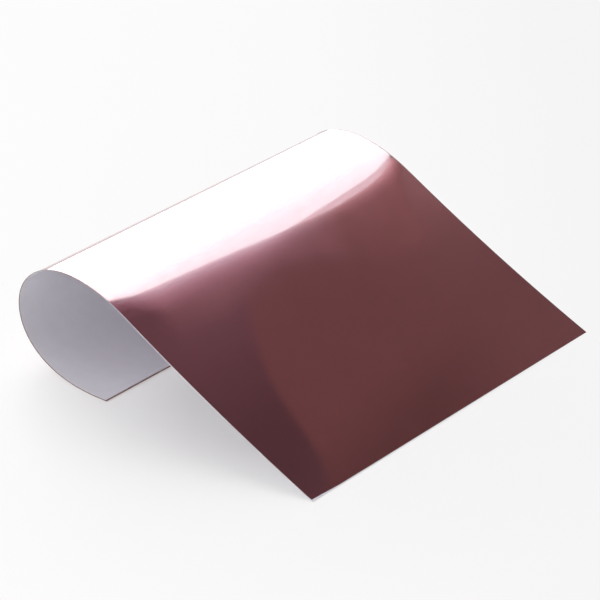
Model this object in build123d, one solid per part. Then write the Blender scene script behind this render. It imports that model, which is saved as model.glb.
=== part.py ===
from build123d import *

import os
from dataclasses import dataclass
from math import cos, pi, radians, sin

# A self-adhesive copper foil sheet, lying curled on a table with its mirror face out and its release liner in.
# Seen along +Y the sheet is a teardrop: from the end of its flap, flat on the table, it runs towards -X, rises
# round the nose of the loop, passes over the crown and falls to its free edge, which rests on the table again.
# The sheet's line is a chain of straight and round stretches, each tangent to the last. It is drawn for the bend
# surface, where foil and adhesive meet, and every layer is an offset of it. Angles are in degrees, lengths in mm.

# The sheet as cut, flat
sheet_length = 297.0
sheet_width = 210.0

# The layers, from the mirror face inwards
film_thickness = 0.10
foil_thickness = 0.05
adhesive_thickness = 0.05
liner_clearance = 0.02  # running clearance in which the liner peels off the adhesive
liner_thickness = 0.20

# The curl, in order from the end of the flap
flap_flat_length = 14.0
lift_radius = 65.0
lift_turn = 21.0
heel_radius = 39.0
heel_turn = 27.0
nose_radius = 26.0
nose_turn = 87.0
shoulder_radius = 40.0  # its turn follows: the shoulder turns until the free edge meets the table
crown_radius = 80.0
crown_turn = 28.3
panel_radius = 1150.0  # the panel bends gently the other way

# The bend line is where the loop stands upright: flap and panel meet there with this gap
bend_gap = 0.4


@dataclass
class Stretch:
    """A straight or round stretch of the sheet's line. Curvature is positive where the sheet curls inwards."""

    start: Vector
    heading: float
    length: float
    curvature: float

    def heading_at(self, travel):
        """The direction of travel, in radians above +X, this far along the stretch."""
        return self.heading - self.curvature * travel

    def point(self, travel, outward=0.0):
        """The point this far along the stretch, this far out of the bend surface on the mirror side."""
        heading = self.heading_at(travel)
        out_here = Vector(-sin(heading), 0, cos(heading))
        if self.curvature == 0:
            return self.start + Vector(cos(heading), 0, sin(heading)) * travel + out_here * outward
        out_at_start = Vector(-sin(self.heading), 0, cos(self.heading))
        centre = self.start - out_at_start / self.curvature
        return centre + out_here * (1 / self.curvature + outward)

    def edge(self, outward):
        """The stretch as an edge, offset outwards."""
        first, middle, last = (self.point(self.length * share, outward) for share in (0, 0.5, 1))
        return Line(first, last) if self.curvature == 0 else ThreePointArc(first, middle, last)

    def between(self, low, high):
        """The piece of this stretch between two distances from its start."""
        return Stretch(self.point(low), self.heading_at(low), high - low, self.curvature)


def sheet_line(shoulder_turn):
    """The stretches from the end of the flap to the free edge. The last one ends where the sheet does."""
    bends = [(radius, radians(turn)) for radius, turn in (
        (lift_radius, lift_turn),
        (heel_radius, heel_turn),
        (nose_radius, nose_turn),
        (shoulder_radius, shoulder_turn),
        (crown_radius, crown_turn),
    )]
    runs = [(flap_flat_length, 0.0)]
    runs += [(radius * turn, 1 / radius) for radius, turn in bends]
    runs += [(sheet_length, -1 / panel_radius)]
    line = []
    left = sheet_length
    end, heading = Vector(0, -sheet_width / 2, foil_thickness + film_thickness), pi
    for length, curvature in runs:
        if left <= 0:
            break
        stretch = Stretch(end, heading, min(length, left), curvature)
        line.append(stretch)
        left -= stretch.length
        end, heading = stretch.point(stretch.length), stretch.heading_at(stretch.length)
    return line


def free_edge_height(shoulder_turn, underside):
    """How high the lower corner of the free edge stands above the table."""
    panel = sheet_line(shoulder_turn)[-1]
    return panel.point(panel.length, underside).Z


def landed_line(underside):
    """The sheet's line whose free edge rests on the table, by halving the span of turns that holds it."""
    low, high = 0.0, 180.0
    for _ in range(60):
        middle = (low + high) / 2
        if free_edge_height(middle, underside) > 0:
            low = middle
        else:
            high = middle
    return sheet_line((low + high) / 2)


def upright_distance(line):
    """How far along the line the sheet stands upright, at the nose of the loop."""
    travelled = 0.0
    for stretch in line:
        turned = stretch.heading - pi / 2
        if 0 <= turned <= stretch.curvature * stretch.length:
            return travelled + turned / stretch.curvature
        travelled += stretch.length


def cut_line(line, low, high):
    """The stretches of the line between two distances along it."""
    pieces = []
    travelled = 0.0
    for stretch in line:
        first, last = max(low - travelled, 0.0), min(high - travelled, stretch.length)
        if last > first:
            pieces.append(stretch.between(first, last))
        travelled += stretch.length
    return pieces


def layer_solid(line, outside, inside):
    """One layer of the sheet along a line, between two offsets from the bend surface."""
    first, last = line[0], line[-1]
    outline = [stretch.edge(offset) for stretch in line for offset in (outside, inside)]
    outline.append(Line(first.point(0, outside), first.point(0, inside)))
    outline.append(Line(last.point(last.length, outside), last.point(last.length, inside)))
    return extrude(make_face(outline), amount=sheet_width, dir=(0, 1, 0))


# Each layer's two faces, as offsets from the bend surface towards the mirror side
film_face = foil_thickness + film_thickness
liner_face = -adhesive_thickness - liner_clearance
liner_underside = liner_face - liner_thickness
layers = {
    "gloss_film": (film_face, foil_thickness),
    "copper_foil": (foil_thickness, 0.0),
    "adhesive": (0.0, -adhesive_thickness),
    "release_liner": (liner_face, liner_underside),
}

line = landed_line(liner_underside)
bend_at = upright_distance(line)
sides = {
    "flap": cut_line(line, 0.0, bend_at - bend_gap / 2),
    "panel": cut_line(line, bend_at + bend_gap / 2, sheet_length),
}
solids = {
    f"{layer}_{side}": layer_solid(side_line, *faces)
    for layer, faces in layers.items()
    for side, side_line in sides.items()
}

# The origin is on the table, under the middle of the curled sheet
box = Compound(list(solids.values())).bounding_box()
to_origin = Vector(-(box.min.X + box.max.X) / 2, 0, 0)

os.makedirs("parts", exist_ok=True)
for name, solid in solids.items():
    placed = Pos(to_origin) * solid
    placed.label = name
    export_step(placed, f"parts/{name}.step")

# The axis on which the curl opens lies halfway through the sheet at the bend line
bend = cut_line(line, bend_at, sheet_length)[0]
axis_point = bend.point(0, (film_face + liner_underside) / 2) + to_origin
print(f"bend axis x {axis_point.X:.3f} z {axis_point.Z:.3f}")
print(f"box {box.size.X:.3f} x {box.size.Y:.3f} x {box.size.Z:.3f}")
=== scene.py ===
"""A self-adhesive copper foil sheet, curled on a white table, with its mirror face out and its liner in.

Each of the sheet's four layers is one closed mesh, swept along the sheet's line. s runs along the sheet from
the end of the flap to the free edge, and y across it. Lengths are in metres and angles in radians.
"""
from math import cos, inf, pi, radians, sin

import bpy
import numpy as np
from mathutils import Matrix, Vector


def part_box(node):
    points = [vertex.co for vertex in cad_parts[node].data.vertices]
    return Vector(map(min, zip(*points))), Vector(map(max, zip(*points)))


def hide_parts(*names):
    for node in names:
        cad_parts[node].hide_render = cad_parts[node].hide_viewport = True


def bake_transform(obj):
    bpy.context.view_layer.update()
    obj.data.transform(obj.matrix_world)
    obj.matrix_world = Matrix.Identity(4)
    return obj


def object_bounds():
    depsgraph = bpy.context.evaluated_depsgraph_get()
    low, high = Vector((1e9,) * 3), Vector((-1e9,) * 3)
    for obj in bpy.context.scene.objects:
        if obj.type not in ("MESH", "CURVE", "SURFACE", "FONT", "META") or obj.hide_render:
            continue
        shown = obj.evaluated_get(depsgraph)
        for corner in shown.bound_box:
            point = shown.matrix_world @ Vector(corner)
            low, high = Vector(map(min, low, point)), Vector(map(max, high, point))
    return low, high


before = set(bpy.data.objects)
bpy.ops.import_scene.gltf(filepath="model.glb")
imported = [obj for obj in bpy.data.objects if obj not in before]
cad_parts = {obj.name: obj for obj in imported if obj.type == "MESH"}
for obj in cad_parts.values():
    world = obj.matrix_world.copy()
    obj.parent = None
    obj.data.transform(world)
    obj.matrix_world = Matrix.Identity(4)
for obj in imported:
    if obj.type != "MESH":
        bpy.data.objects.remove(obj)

MM = 0.001
cad_low, cad_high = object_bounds()

# The sheet as cut, flat, and its layers
sheet_length = 297 * MM
sheet_width = cad_high.y - cad_low.y
film_thickness = 0.10 * MM
foil_thickness = 0.05 * MM
adhesive_thickness = 0.05 * MM
liner_clearance = 0.02 * MM
liner_thickness = 0.20 * MM
seen_gap = 0.005 * MM  # between faces that touch, so that neither hides the other by chance

# The curl, in order from the end of the flap. The shoulder's length is the one that lands the free edge
flap_flat_length = 15 * MM
lift_length, lift_radius = 23 * MM, 65 * MM
heel_length, heel_radius = 17 * MM, 39 * MM
nose_length, nose_radius = 41.5 * MM, 26 * MM
shoulder_radius = 40 * MM
shoulder_shortest, shoulder_longest = 10 * MM, 60 * MM  # landed_line looks between these
crown_length, crown_radius = 39 * MM, 80 * MM
panel_radius = 1150 * MM
easing = 14 * MM  # the length over which a springy sheet passes from one curvature to the next

# The end of the flap springs a little off the table
flap_spring, flap_spring_length = 0.5 * MM, 12 * MM

# The liner lies a little askew: it stops short of the flap's end and of the flap's near edge, and stands out
# past the panel's near edge and past the free edge at the near corner
liner_short = 0.7 * MM
liner_recess, liner_overhang = 0.3 * MM, 0.3 * MM
recess_end, overhang_start = 110 * MM, 180 * MM  # along the sheet: the liner's near edge crosses between
liner_tongue, tongue_reach = 0.5 * MM, 75 * MM
askew_margin = 3 * MM  # the strip along an edge that takes up what the edge is moved by

# How the mesh is divided
line_step = 0.25 * MM
halvings = 40
rows_along = 240
rows_across = 72
edge_crowding = 0.88  # from 0, evenly spaced across the sheet, to 1, crowded towards its two long edges
sharp_angle = radians(40)

# The camera, which looks at a point low in the loop
camera_azimuth = radians(41.53)
camera_elevation = radians(28.88)
camera_distance = 1.4661
camera_lens, camera_sensor = 172.45, 36  # both in mm
aim_offset = Vector((-0.0232, 0.0207, -0.0211))  # from the middle of the CAD box

# The table. Far away the camera sees it only glow, and around the shadow mostly lit
table_reach, table_drop = 4.0, 0.05 * MM
falloff_reach = 0.16  # how far to the left and right of the origin the table's painted falloff of light changes
near_glow, far_glow = 0.235, 1.0  # the share that glows
glow_middle = Vector((0.022, -0.062, 0))
near_reach, far_reach = 0.031, 0.185  # from glow_middle: the glow grows from near to far between

# The lamps
softbox_radiance = 5.2
softbox_turn = radians(45)
softbox_edge = (-0.20, 0.35)
softbox_width, softbox_bottom, softbox_top = 0.62, 0.40, 1.10
fill_radiance, fill_size = 1.22, 1.4
fill_place = Vector((-0.7, -0.9, 1.0))

# What the sheet mirrors stands upright behind it, from front to back. Its edges are drawn as x and z
mirrored_things = ("window", "window_rim", "window_halo", "corner", "wall")
mirrored_y, mirrored_spacing = 0.40, 1 * MM
outline_step = 4 * MM
window_left, window_foot = -0.90, 0.0
window_edge = ((-0.215, 0.708), (-0.106, 0.677), (-0.030, 0.497), (-0.068, 0.3825), (-0.290, 0.254))
window_easing = 0.04
rim_edge = ((-0.110, 0.605), (-0.036, 0.500), (-0.023, 0.442), (-0.037, 0.388), (-0.300, 0.275))
rim_easing = 0.03
halo_edge = (
    (-0.040, 0.362), (0.015, 0.375), (0.017, 0.42), (0.014, 0.44), (0.010, 0.46), (0.006, 0.48),
    (0.004, 0.52), (0.010, 0.60), (0.009, 0.66), (-0.004, 0.68), (-0.035, 0.70),
)
halo_bottom, halo_top = halo_edge[0][1], 0.712
halo_overlap = 2 * MM  # over the window's edge and its rim
halo_rows, halo_columns = 60, 24
dark_edge = ((0.006, 0.568), (0.025, 0.594), (0.048, 0.586), (0.060, 0.625))
dark_easing = 0.012
corner_right, corner_side_foot = 0.20, 0.70
wall_left, wall_right, wall_foot, wall_top = -0.15, 0.60, 0.26, 0.95
card_x, card_near, card_far, card_top = -1.2, -1.5, 0.4, 1.2


# --------------------------------------------------------------------------------------- the sheet's line


def headings(shoulder_length):
    """Fine stations along the sheet's line, past both ends, and its eased heading there, above +X."""
    margin = 2 * easing
    stations = np.arange(-margin, sheet_length + margin, line_step)
    heading = np.full(len(stations), pi)
    start = 0.0
    for length, radius in (
        (flap_flat_length, inf),
        (lift_length, lift_radius),
        (heel_length, heel_radius),
        (nose_length, nose_radius),
        (shoulder_length, shoulder_radius),
        (crown_length, crown_radius),
        (sheet_length, -panel_radius),
    ):
        heading -= np.clip(stations - start, 0, length) / radius
        start += length
    window = np.ones(round(easing / line_step))
    window /= len(window)
    for _ in range(2):  # the first pass makes the curvature continuous, and the second makes it smooth
        heading = np.convolve(heading, window, "same")
    return stations, heading


def line_points(shoulder_length):
    """The stations along the line, with its heading, x and z at each.

    The line is the face between foil and adhesive, and its station 0 is the end of the flap.
    """
    stations, heading = headings(shoulder_length)
    steps = np.diff(stations)
    along_x = (np.cos(heading[1:]) + np.cos(heading[:-1])) / 2 * steps
    along_z = (np.sin(heading[1:]) + np.sin(heading[:-1])) / 2 * steps
    x = np.concatenate([[0], np.cumsum(along_x)])
    z = np.concatenate([[0], np.cumsum(along_z)])
    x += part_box("copper_foil_flap")[1].x - np.interp(0, stations, x)
    z += film_thickness + foil_thickness - np.interp(0, stations, z)
    return stations, heading, x, z


def landed_line():
    """The line whose free edge rests on the table, by halving the span of shoulder lengths that holds it."""
    underside = adhesive_thickness + liner_clearance + liner_thickness
    short, long = shoulder_shortest, shoulder_longest
    for _ in range(halvings):
        middle = (short + long) / 2
        stations, heading, x, z = line_points(middle)
        turn = np.interp(sheet_length, stations, heading)
        if np.interp(sheet_length, stations, z) - underside * cos(turn) > 0:
            short = middle
        else:
            long = middle
    return line_points((short + long) / 2)


# --------------------------------------------------------------------------------------------- the layers


line = landed_line()
along = np.linspace(0, sheet_length, rows_along)
crowded = edge_crowding * pi / 2
across = np.sin(np.linspace(-crowded, crowded, rows_across)) / sin(crowded) * sheet_width / 2


def smooth_step(value, start, end):
    """0 before start, 1 after end, and smooth between."""
    share = np.clip((value - start) / (end - start), 0, 1)
    return share * share * (3 - 2 * share)


def spring(s):
    """How far the sheet stands above the plain curl at the end of its flap, which springs up a little."""
    return flap_spring * smooth_step(-s, -flap_spring_length, 0)


def askew(s, y):
    """How far the liner lies from its plain place: along the flap, across the sheet and out past its end."""
    short = liner_short * smooth_step(-s, -askew_margin, 0)
    near = smooth_step(-y, sheet_width / 2 - askew_margin, sheet_width / 2)
    inwards = liner_recess - (liner_recess + liner_overhang) * smooth_step(s, recess_end, overhang_start)
    to_corner = np.clip((-y - sheet_width / 2 + tongue_reach) / tongue_reach, 0, 1)
    tongue = liner_tongue * to_corner * smooth_step(s, sheet_length - askew_margin, sheet_length)
    return short, inwards * near, tongue


def layer_points(outside, inside, lies_askew):
    """The points of a layer's two faces, at two offsets from the line towards the mirror side."""
    stations, heading, x, z = line
    s, y = np.meshgrid(along, across, indexing="ij")
    short, sideways, tongue = askew(s, y) if lies_askew else (0, 0, 0)
    place = s + short
    turn = np.interp(place, stations, heading)
    faces = []
    for offset in (outside, inside):
        out = offset - spring(place)
        px = np.interp(place, stations, x) - np.sin(turn) * out + tongue
        pz = np.interp(place, stations, z) + np.cos(turn) * out
        faces.append(np.stack([px, y + sideways, pz], axis=-1).reshape(-1, 3))
    return np.concatenate(faces)


def layer_polygons():
    """The quads of a layer's outer face, of its inner face, and of the cut edge that closes it."""
    below = rows_along * rows_across
    index = np.arange(below).reshape(rows_along, rows_across)
    corners = [index[:-1, :-1], index[1:, :-1], index[1:, 1:], index[:-1, 1:]]
    outer = np.stack(corners, axis=-1).reshape(-1, 4)
    inner = outer[:, ::-1] + below
    border = np.concatenate([index[:, 0], index[-1, 1:], index[::-1, -1][1:], index[0, ::-1][1:-1]])
    after = np.roll(border, -1)
    cut = np.stack([after, border, border + below, after + below], axis=-1)
    return outer, inner, cut


def set_flat(mesh, name, flat):
    """Gives a mesh a UV layer of that name, with one place for each of its points."""
    layer = mesh.uv_layers.new(name=name)
    corner_points = np.zeros(len(mesh.loops), int)
    mesh.loops.foreach_get("vertex_index", corner_points)
    layer.data.foreach_set("uv", flat[corner_points].ravel())


def layer_mesh(name, outside, inside, lies_askew=False):
    """One layer as a closed mesh. Its faces take the first material and its cut edge the second."""
    outer, inner, cut = layer_polygons()
    mesh = bpy.data.meshes.new(name)
    points = layer_points(outside, inside, lies_askew)
    mesh.from_pydata(points.tolist(), [], np.concatenate([outer, inner, cut]).tolist())
    s, y = np.meshgrid(along, across, indexing="ij")
    flat = np.stack([s, y + sheet_width / 2], axis=-1).reshape(-1, 2)
    set_flat(mesh, "sheet", np.concatenate([flat, flat]))
    is_cut = np.repeat([0, 0, 1], [len(outer), len(inner), len(cut)])
    mesh.polygons.foreach_set("material_index", is_cut)
    mesh.shade_smooth()
    mesh.set_sharp_from_angle(angle=sharp_angle)
    mesh.validate()
    piece = bpy.data.objects.new(name, mesh)
    bpy.context.scene.collection.objects.link(piece)
    return piece


# ---------------------------------------------------------------------------------------------- materials


noise_low, noise_high = 0.3, 0.7  # a noise keeps mostly between these


def set_stops(ramp, stops):
    """Gives a colour ramp its stops, each a position and a colour."""
    elements = ramp.color_ramp.elements
    while len(elements) < len(stops):
        elements.new(0.5)
    for element, (position, colour) in zip(elements, stops):
        element.position = position
        element.color = (*colour, 1)


class Nodes:
    """Builds one material's nodes around its Principled shader."""

    def __init__(self, name):
        self.material = bpy.data.materials.new(name)
        self.material.use_nodes = True
        self.tree = self.material.node_tree
        self.shader = self.tree.nodes["Principled BSDF"]
        self.surface = self.tree.nodes["Material Output"].inputs["Surface"]

    def add(self, kind, **settings):
        node = self.tree.nodes.new(kind)
        for key, value in settings.items():
            setattr(node, key, value)
        return node

    def link(self, source, target):
        self.tree.links.new(source, target)

    def set(self, **values):
        """Sets the shader's own sockets, with _ for each space in a socket's name."""
        for key, value in values.items():
            self.shader.inputs[key.replace("_", " ")].default_value = value

    def object_place(self):
        """The place on the object, in its own frame."""
        return self.add("ShaderNodeTexCoord").outputs["Object"]

    def flat_place(self, name):
        """The place on a UV layer."""
        return self.add("ShaderNodeUVMap", uv_map=name).outputs["UV"]

    def parts(self, place):
        """A place's separate X, Y and Z."""
        split = self.add("ShaderNodeSeparateXYZ")
        self.link(place, split.inputs["Vector"])
        return split.outputs

    def noise(self, cell, detail, stretch=(1, 1, 1)):
        """A noise over the flat sheet, with cells of about that size in metres."""
        scale = self.add("ShaderNodeMapping")
        scale.inputs["Scale"].default_value = [1 / cell / part for part in stretch]
        noise = self.add("ShaderNodeTexNoise")
        noise.inputs["Scale"].default_value = 1.0
        noise.inputs["Detail"].default_value = detail
        self.link(self.flat_place("sheet"), scale.inputs["Vector"])
        self.link(scale.outputs["Vector"], noise.inputs["Vector"])
        return noise.outputs["Fac"]

    def between(self, source, low, high, source_low=noise_low, source_high=noise_high):
        """A value that runs from low to high while its source runs from source_low to source_high."""
        spread = self.add("ShaderNodeMapRange")
        spread.inputs["From Min"].default_value = source_low
        spread.inputs["From Max"].default_value = source_high
        spread.inputs["To Min"].default_value = low
        spread.inputs["To Max"].default_value = high
        self.link(source, spread.inputs["Value"])
        return spread.outputs["Result"]

    def blend(self, noise, low, high):
        """A colour between two, by a noise."""
        ramp = self.add("ShaderNodeValToRGB")
        set_stops(ramp, ((noise_low, low), (noise_high, high)))
        self.link(noise, ramp.inputs["Fac"])
        return ramp.outputs["Color"]

    def ramp(self, source, low, high, stops):
        """A colour by a value that runs from low to high. Each stop is a share of that run and a colour."""
        ramp = self.add("ShaderNodeValToRGB")
        set_stops(ramp, stops)
        self.link(self.between(source, 0, 1, low, high), ramp.inputs["Fac"])
        return ramp.outputs["Color"]

    def bump(self, source, height):
        """Raises the surface by up to that height where the source is high."""
        bump = self.add("ShaderNodeBump")
        bump.inputs["Distance"].default_value = height
        self.link(source, bump.inputs["Height"])
        self.link(bump.outputs["Normal"], self.shader.inputs["Normal"])

    def math(self, operation, one, other):
        """Two values, put together by a Math node."""
        result = self.add("ShaderNodeMath", operation=operation)
        self.link(one, result.inputs[0])
        self.link(other, result.inputs[1])
        return result.outputs["Value"]

    def vector_math(self, operation, place, fixed):
        """A place and a fixed vector, put together as one value by a Vector Math node."""
        result = self.add("ShaderNodeVectorMath", operation=operation)
        self.link(place, result.inputs[0])
        result.inputs[1].default_value = fixed
        return result.outputs["Value"]

    def mix(self, factor, one, other):
        """A colour that passes from one to the other as the factor runs from 0 to 1."""
        mixed = self.add("ShaderNodeMix", data_type="RGBA")
        self.link(factor, mixed.inputs["Factor"])
        self.link(one, mixed.inputs["A"])
        self.link(other, mixed.inputs["B"])
        return mixed.outputs["Result"]

    def product(self, one, other):
        """The product of two colours."""
        product = self.add("ShaderNodeMix", data_type="RGBA", blend_type="MULTIPLY")
        product.inputs["Factor"].default_value = 1.0
        self.link(one, product.inputs["A"])
        self.link(other, product.inputs["B"])
        return product.outputs["Result"]


def foil_material():
    """Rose copper with a clear gloss: a soft metal lobe from the rolled metal, and a crisp one on top."""
    nodes = Nodes("rose_copper")
    nodes.set(Metallic=1.0, Coat_Weight=1.0, Coat_Roughness=0.055, Coat_IOR=1.8)
    colour = nodes.blend(nodes.noise(9 * MM, detail=4), (0.41, 0.110, 0.121), (0.44, 0.120, 0.131))
    nodes.link(colour, nodes.shader.inputs["Base Color"])
    rough = nodes.between(nodes.noise(1.5 * MM, detail=3), 0.030, 0.045)
    nodes.link(rough, nodes.shader.inputs["Roughness"])
    nodes.bump(nodes.noise(0.35 * MM, detail=2), height=0.0006 * MM)
    return nodes.material


def film_material():
    """Clear film with a faint rose haze."""
    nodes = Nodes("clear_film")
    nodes.set(Alpha=0.06, IOR=1.5)
    colour = nodes.blend(nodes.noise(14 * MM, detail=3), (0.36, 0.12, 0.14), (0.40, 0.14, 0.16))
    nodes.link(colour, nodes.shader.inputs["Base Color"])
    rough = nodes.between(nodes.noise(4 * MM, detail=3), 0.05, 0.09)
    nodes.link(rough, nodes.shader.inputs["Roughness"])
    return nodes.material


def adhesive_material():
    """Tacky clear adhesive, with the back of the copper showing through."""
    nodes = Nodes("clear_adhesive")
    nodes.set(IOR=1.47, Metallic=0.4)
    colour = nodes.blend(nodes.noise(2.5 * MM, detail=5), (0.28, 0.13, 0.10), (0.36, 0.18, 0.14))
    nodes.link(colour, nodes.shader.inputs["Base Color"])
    rough = nodes.between(nodes.noise(3 * MM, detail=3), 0.22, 0.34)
    nodes.link(rough, nodes.shader.inputs["Roughness"])
    nodes.bump(nodes.noise(1.2 * MM, detail=3), height=0.02 * MM)
    return nodes.material


def liner_material():
    """White release paper, faintly mottled, with a fine fibre grain."""
    nodes = Nodes("release_paper")
    nodes.set(IOR=1.45, Coat_Weight=0.12, Coat_Roughness=0.35)
    colour = nodes.blend(nodes.noise(6 * MM, detail=5), (0.845, 0.825, 0.89), (0.87, 0.85, 0.91))
    nodes.link(colour, nodes.shader.inputs["Base Color"])
    rough = nodes.between(nodes.noise(0.8 * MM, detail=4), 0.50, 0.62)
    nodes.link(rough, nodes.shader.inputs["Roughness"])
    nodes.bump(nodes.noise(0.4 * MM, detail=4, stretch=(3, 1, 1)), height=0.004 * MM)
    return nodes.material


def cut_material(name, dark, light):
    """The matt cut edge of a layer."""
    nodes = Nodes(name)
    nodes.set(Roughness=0.7)
    colour = nodes.blend(nodes.noise(0.8 * MM, detail=3), dark, light)
    nodes.link(colour, nodes.shader.inputs["Base Color"])
    return nodes.material


# ------------------------------------------------------------------------------------------------- pieces


foil_face = foil_thickness
film_face = foil_thickness + film_thickness
liner_face = -adhesive_thickness - liner_clearance

film = layer_mesh("gloss_film", film_face, foil_face + seen_gap)
foil = layer_mesh("copper_foil", foil_face, 0.0)
adhesive = layer_mesh("adhesive_layer", -seen_gap, -adhesive_thickness)
liner = layer_mesh("release_liner", liner_face, liner_face - liner_thickness, lies_askew=True)

# The dark cut edges are partly the copper's brown seen edge-on and partly painted shade from the gap beneath
film_cut_and_shade = cut_material("cut_film_and_shade", (0.14, 0.06, 0.06), (0.19, 0.09, 0.09))
foil_cut_and_shade = cut_material("cut_foil_and_shade", (0.11, 0.05, 0.04), (0.17, 0.08, 0.065))
adhesive_cut_and_shade = cut_material("cut_adhesive_and_shade", (0.12, 0.06, 0.05), (0.17, 0.09, 0.07))
liner_cut = cut_material("cut_liner", (0.86, 0.84, 0.86), (0.92, 0.90, 0.92))

for piece, slot, face, cut in (
    (film, "gloss_film", film_material(), film_cut_and_shade),
    (foil, "copper_foil", foil_material(), foil_cut_and_shade),
    (adhesive, "adhesive", adhesive_material(), adhesive_cut_and_shade),
    (liner, "release_liner", liner_material(), liner_cut),
):
    piece.data.materials.append(face)
    piece.data.materials.append(cut)
    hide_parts(f"{slot}_flap", f"{slot}_panel")

for piece in (film, foil, adhesive):
    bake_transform(piece)
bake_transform(liner)


# ---------------------------------------------------------------------------------------- table and lights


def seen_rays(nodes):
    """1 for the rays of the camera, gloss and glass, and 0 for all others."""
    rays = nodes.add("ShaderNodeLightPath").outputs
    seen = nodes.math("MAXIMUM", rays["Is Camera Ray"], rays["Is Glossy Ray"])
    return nodes.math("MAXIMUM", seen, rays["Is Transmission Ray"])


def table_material():
    """A white table. The camera, gloss and glass see it glow in part, so it stays white round its shadow."""
    nodes = Nodes("white_table")
    nodes.set(Roughness=0.7)
    place = nodes.object_place()
    to_the_right = (cos(camera_azimuth), sin(camera_azimuth), 0)
    aside = nodes.vector_math("DOT_PRODUCT", place, to_the_right)
    # Painted light and shade across the table: its colour is painted paler towards the right, and its glow
    # greyer towards the right
    painted_falloff_base = nodes.ramp(aside, -falloff_reach, falloff_reach, (
        (0.00, (0.88, 0.875, 0.88)),
        (0.50, (0.90, 0.90, 0.90)),
        (1.00, (0.95, 0.95, 0.955)),
    ))
    nodes.link(painted_falloff_base, nodes.shader.inputs["Base Color"])
    painted_falloff_glow = nodes.ramp(aside, -falloff_reach, falloff_reach, (
        (0.00, (0.985, 0.975, 0.980)),
        (0.50, (0.965, 0.955, 0.960)),
        (1.00, (0.915, 0.910, 0.915)),
    ))
    glow = nodes.add("ShaderNodeEmission")
    nodes.link(painted_falloff_glow, glow.inputs["Color"])

    away = nodes.vector_math("DISTANCE", place, glow_middle)
    share = nodes.between(away, near_glow, far_glow, near_reach, far_reach)
    mixed = nodes.add("ShaderNodeMixShader")
    nodes.link(nodes.math("MULTIPLY", seen_rays(nodes), share), mixed.inputs["Fac"])
    nodes.link(nodes.shader.outputs["BSDF"], mixed.inputs[1])
    nodes.link(glow.outputs["Emission"], mixed.inputs[2])
    nodes.link(mixed.outputs["Shader"], nodes.surface)
    return nodes.material


def make_table():
    mesh = bpy.data.meshes.new("table")
    sides = ((-1, -1), (1, -1), (1, 1), (-1, 1))
    corners = [(x * table_reach, y * table_reach, -table_drop) for x, y in sides]
    mesh.from_pydata(corners, [], [range(4)])
    mesh.materials.append(table_material())
    table = bpy.data.objects.new("table", mesh)
    bpy.context.scene.collection.objects.link(table)


def make_world():
    """A studio that is white low down, dark above and softly lit overhead."""
    world = bpy.data.worlds.new("studio")
    bpy.context.scene.world = world
    world.use_nodes = True
    tree = world.node_tree
    direction = tree.nodes.new("ShaderNodeTexCoord")
    split = tree.nodes.new("ShaderNodeSeparateXYZ")
    ramp = tree.nodes.new("ShaderNodeValToRGB")
    tree.links.new(direction.outputs["Generated"], split.inputs["Vector"])
    tree.links.new(split.outputs["Z"], ramp.inputs["Fac"])
    tree.links.new(ramp.outputs["Color"], tree.nodes["Background"].inputs["Color"])
    sky = (  # each an elevation in degrees and a colour
        (15, (0.95, 0.95, 0.95)),
        (36, (0.15, 0.13, 0.12)),
        (50.0, (0.15, 0.10, 0.09)),
        (50.5, (0.075, 0.07, 0.09)),
        (62, (0.08, 0.08, 0.10)),
        (75, (0.80, 0.80, 0.80)),
        (89, (0.95, 0.95, 0.95)),
    )
    set_stops(ramp, [(sin(radians(elevation)), colour) for elevation, colour in sky])


def make_lamp(name, middle, facing, width, height, radiance):
    """A rectangular lamp of that radiance, facing that way and hidden from the camera."""
    light = bpy.data.lights.new(name, "AREA")
    light.shape = "RECTANGLE"
    light.size, light.size_y = width, height
    light.energy = radiance * pi * width * height
    lamp = bpy.data.objects.new(name, light)
    lamp.location = middle
    lamp.rotation_euler = facing.to_track_quat("-Z", "Z").to_euler()
    lamp.visible_camera = False
    bpy.context.scene.collection.objects.link(lamp)
    return lamp


def make_lamps():
    """A softbox behind the sheet on the left, which mirrors don't show, and a fill that faces the origin."""
    facing = Vector((sin(softbox_turn), -cos(softbox_turn), 0))
    sideways = Vector((-cos(softbox_turn), -sin(softbox_turn), 0))
    height = softbox_top - softbox_bottom
    middle = Vector((*softbox_edge, 0)) + sideways * softbox_width / 2
    middle.z = (softbox_bottom + softbox_top) / 2
    softbox = make_lamp("softbox", middle, facing, softbox_width, height, softbox_radiance)
    softbox.visible_glossy = False
    make_lamp("fill", fill_place, -fill_place, fill_size, fill_size, fill_radiance)


# ---------------------------------------------------------------------------------- what the sheet mirrors


def rounded(corners, easing_length):
    """A polyline with its corners eased, as many close points. Its ends hold."""
    corners = np.array(corners)
    reach = np.concatenate([[0], np.cumsum(np.linalg.norm(np.diff(corners, axis=0), axis=1))])
    places = np.arange(0, reach[-1], outline_step)
    window = np.ones(round(easing_length / outline_step) // 2 * 2 + 1)
    window /= len(window)
    eased = []
    for part in corners.T:
        values = np.interp(places, reach, part)
        for _ in range(2):
            padded = np.pad(values, len(window) // 2, "reflect", reflect_type="odd")
            values = np.convolve(padded, window, "valid")
        eased.append(values)
    return np.stack(eased, axis=-1)


def only_mirrored(thing):
    """Puts a thing into the scene that only mirrors see."""
    thing.visible_camera = False
    thing.visible_diffuse = False
    thing.visible_transmission = False
    thing.visible_shadow = False
    bpy.context.scene.collection.objects.link(thing)
    return thing


def mirrored(name, points, polygons, material):
    """One of mirrored_things, drawn as x and z, on its own upright plane."""
    y = mirrored_y + mirrored_things.index(name) * mirrored_spacing
    mesh = bpy.data.meshes.new(name)
    mesh.from_pydata([(x, y, z) for x, z in points], [], polygons)
    mesh.materials.append(material)
    return only_mirrored(bpy.data.objects.new(name, mesh))


def glowing(name):
    """A material that only glows, and its glow."""
    nodes = Nodes(name)
    nodes.tree.nodes.remove(nodes.shader)
    glow = nodes.add("ShaderNodeEmission")
    nodes.link(glow.outputs["Emission"], nodes.surface)
    return nodes, glow


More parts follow.
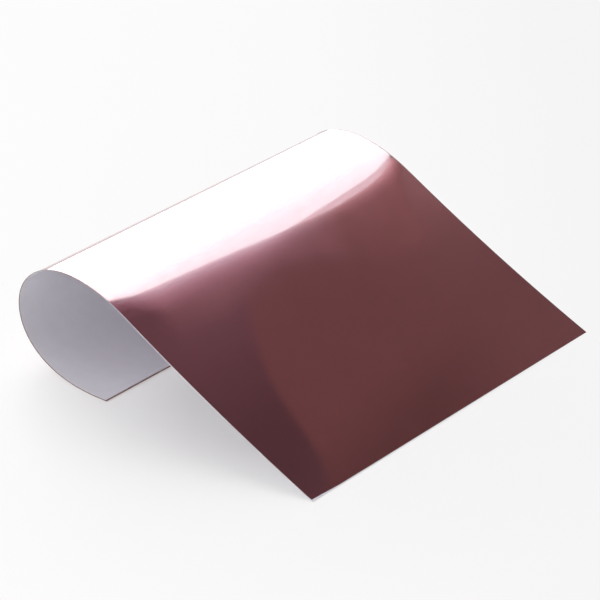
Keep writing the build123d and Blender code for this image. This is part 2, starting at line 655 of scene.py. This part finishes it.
def make_window():
    """The big soft light that the sheet mirrors, whiter away from its edge. Returns its edge."""
    nodes, glow = glowing("window_light")
    colour = nodes.ramp(nodes.parts(nodes.object_place())["X"], -0.25, 0, (
        (0.00, (0.87, 1.00, 1.00)),
        (0.40, (0.45, 0.86, 0.87)),
        (0.68, (0.42, 0.79, 0.81)),
        (0.90, (0.40, 0.76, 0.79)),
    ))
    nodes.link(colour, glow.inputs["Color"])
    glow.inputs["Strength"].default_value = 6.2
    edge = rounded(window_edge, window_easing)
    outline = edge.tolist()
    window_top, edge_end = edge[0][1], edge[-1][0]
    outline += [(edge_end, window_foot), (window_left, window_foot), (window_left, window_top)]
    mirrored("window", outline, [range(len(outline))], nodes.material)
    return edge


def make_rim():
    """The dimmer rim along the window's edge. Returns the rim's own edge."""
    nodes, glow = glowing("window_rim")
    glow.inputs["Color"].default_value = (0.62, 0.95, 1, 1)
    glow.inputs["Strength"].default_value = 2.95
    edge = rounded(rim_edge, rim_easing)
    mirrored("window_rim", edge.tolist(), [range(len(edge))], nodes.material)
    return edge


def halo_material():
    """Light that fades from the window outwards, which is U, and changes with the height, which is V."""
    nodes, glow = glowing("window_halo")
    outwards, height, _ = nodes.parts(nodes.flat_place("halo"))
    high = nodes.ramp(outwards, 0, 1, (
        (0.00, (0.60, 0.95, 1.00)),
        (0.17, (0.55, 0.82, 0.93)),
        (0.31, (0.44, 0.61, 0.71)),
        (0.46, (0.39, 0.49, 0.58)),
        (0.60, (0.32, 0.38, 0.44)),
        (0.74, (0.26, 0.28, 0.34)),
        (0.89, (0.195, 0.195, 0.23)),
        (1.00, (0.09, 0.075, 0.085)),
    ))
    low = nodes.ramp(outwards, 0, 1, (
        (0.00, (0.43, 0.50, 0.53)),
        (0.13, (0.325, 0.355, 0.375)),
        (0.35, (0.21, 0.20, 0.21)),
        (0.57, (0.137, 0.120, 0.124)),
        (0.78, (0.105, 0.088, 0.088)),
        (1.00, (0.086, 0.073, 0.072)),
    ))
    by_height = nodes.ramp(height, 0.37, 0.71, (
        (0.00, (1.55, 1.55, 1.55)),
        (0.06, (1.25, 1.25, 1.25)),
        (0.20, (1.02, 1.02, 1.02)),
        (0.84, (1.00, 1.00, 1.00)),
        (0.90, (0.84, 0.78, 0.80)),
        (0.97, (0.53, 0.42, 0.46)),
    ))
    mixed = nodes.mix(nodes.between(height, 0, 1, 0.44, 0.53), low, high)
    nodes.link(nodes.product(mixed, by_height), glow.inputs["Color"])
    glow.inputs["Strength"].default_value = 3.0
    return nodes.material


def make_halo(window, rim):
    """The light beside the window and its rim, broad and bluish high up and narrow low down."""
    heights = np.linspace(halo_bottom, halo_top, halo_rows)
    window_x = np.interp(heights, window[::-1, 1], window[::-1, 0])
    rim_x = np.interp(heights, rim[::-1, 1], rim[::-1, 0], right=window_left)
    start = np.maximum(window_x, rim_x) - halo_overlap
    end_x, end_z = zip(*halo_edge)
    end = np.interp(heights, end_z, end_x)
    share, z = np.meshgrid(np.linspace(0, 1, halo_columns), heights)
    x = start[:, None] + (end - start)[:, None] * share
    index = np.arange(x.size).reshape(x.shape)
    corners = [index[:-1, :-1], index[:-1, 1:], index[1:, 1:], index[1:, :-1]]
    quads = np.stack(corners, axis=-1).reshape(-1, 4)
    points = np.stack([x, z], axis=-1).reshape(-1, 2)
    halo = mirrored("window_halo", points.tolist(), quads.tolist(), halo_material())
    set_flat(halo.data, "halo", np.stack([share, z], axis=-1).reshape(-1, 2))


def make_corner():
    """The room's dark corner, high up beside the window."""
    nodes, glow = glowing("corner_light")
    colour = nodes.ramp(nodes.parts(nodes.object_place())["X"], -0.045, 0.055, (
        (0.00, (0.33, 0.31, 0.37)),
        (0.45, (0.20, 0.18, 0.22)),
        (0.57, (0.22, 0.20, 0.24)),
        (0.67, (0.16, 0.15, 0.18)),
        (0.79, (0.105, 0.10, 0.115)),
        (0.91, (0.115, 0.11, 0.13)),
        (1.00, (0.15, 0.15, 0.175)),
    ))
    nodes.link(colour, glow.inputs["Color"])
    outline = rounded(dark_edge, dark_easing).tolist()
    outline += [(corner_right, wall_top), (wall_left, wall_top), (wall_left, corner_side_foot)]
    mirrored("corner", outline, [range(len(outline))], nodes.material)


def make_wall():
    """The room's brownish wall, which is greyer and paler low down on the left."""
    nodes, glow = glowing("wall_light")
    place = nodes.parts(nodes.object_place())
    by_height = nodes.ramp(place["Z"], 0.30, 0.50, (
        (0.00, (0.262, 0.235, 0.235)),
        (0.30, (0.258, 0.225, 0.222)),
        (0.60, (0.252, 0.210, 0.207)),
        (1.00, (0.250, 0.202, 0.200)),
    ))
    high_by_side = nodes.ramp(place["X"], 0, 0.10, (
        (0.00, (1.10, 1.10, 1.15)),
        (0.20, (1.00, 1.00, 1.00)),
        (0.43, (0.98, 0.98, 0.95)),
        (0.56, (0.65, 0.69, 0.67)),
        (0.80, (0.66, 0.70, 0.68)),
    ))
    low_by_side = nodes.ramp(place["X"], -0.02, 0.04, (
        (0.00, (2.20, 2.60, 2.70)),
        (0.33, (1.90, 2.15, 2.20)),
        (0.50, (1.45, 1.52, 1.52)),
        (0.67, (1.17, 1.22, 1.24)),
        (1.00, (1.00, 1.00, 1.00)),
    ))
    by_side = nodes.mix(nodes.between(place["Z"], 0, 1, 0.35, 0.45), low_by_side, high_by_side)
    nodes.link(nodes.product(by_height, by_side), glow.inputs["Color"])
    sides = ((wall_left, wall_foot), (wall_right, wall_foot), (wall_right, wall_top), (wall_left, wall_top))
    mirrored("wall", sides, [range(len(sides))], nodes.material)


def make_card():
    """A white card on the left, which only the crown and the nose mirror."""
    nodes, glow = glowing("card_light")
    colour = nodes.ramp(nodes.parts(nodes.object_place())["Z"], 0, card_top, (
        (0.00, (0.80, 0.80, 0.80)),
        (1.00, (1.00, 1.00, 1.00)),
    ))
    nodes.link(colour, glow.inputs["Color"])
    glow.inputs["Strength"].default_value = 2.2
    mesh = bpy.data.meshes.new("card")
    sides = ((card_near, 0), (card_far, 0), (card_far, card_top), (card_near, card_top))
    mesh.from_pydata([(card_x, y, z) for y, z in sides], [], [range(len(sides))])
    mesh.materials.append(nodes.material)
    only_mirrored(bpy.data.objects.new("card", mesh))


# ------------------------------------------------------------------------------------------------- camera


def make_camera():
    back = Vector((
        sin(camera_azimuth) * cos(camera_elevation),
        -cos(camera_azimuth) * cos(camera_elevation),
        sin(camera_elevation),
    ))
    right = Vector((cos(camera_azimuth), sin(camera_azimuth), 0))
    up = back.cross(right)
    aim = (cad_low + cad_high) / 2 + aim_offset
    camera = bpy.data.objects.new("camera", bpy.data.cameras.new("camera"))
    camera.data.lens = camera_lens
    camera.data.sensor_width = camera_sensor
    turned = Matrix((right, up, back)).transposed().to_4x4()
    camera.matrix_world = Matrix.Translation(aim + back * camera_distance) @ turned
    bpy.context.scene.collection.objects.link(camera)
    bpy.context.scene.camera = camera


make_table()
make_world()
make_lamps()
make_halo(make_window(), make_rim())
make_corner()
make_wall()
make_card()
make_camera()
bpy.context.scene.view_settings.view_transform = "Standard"
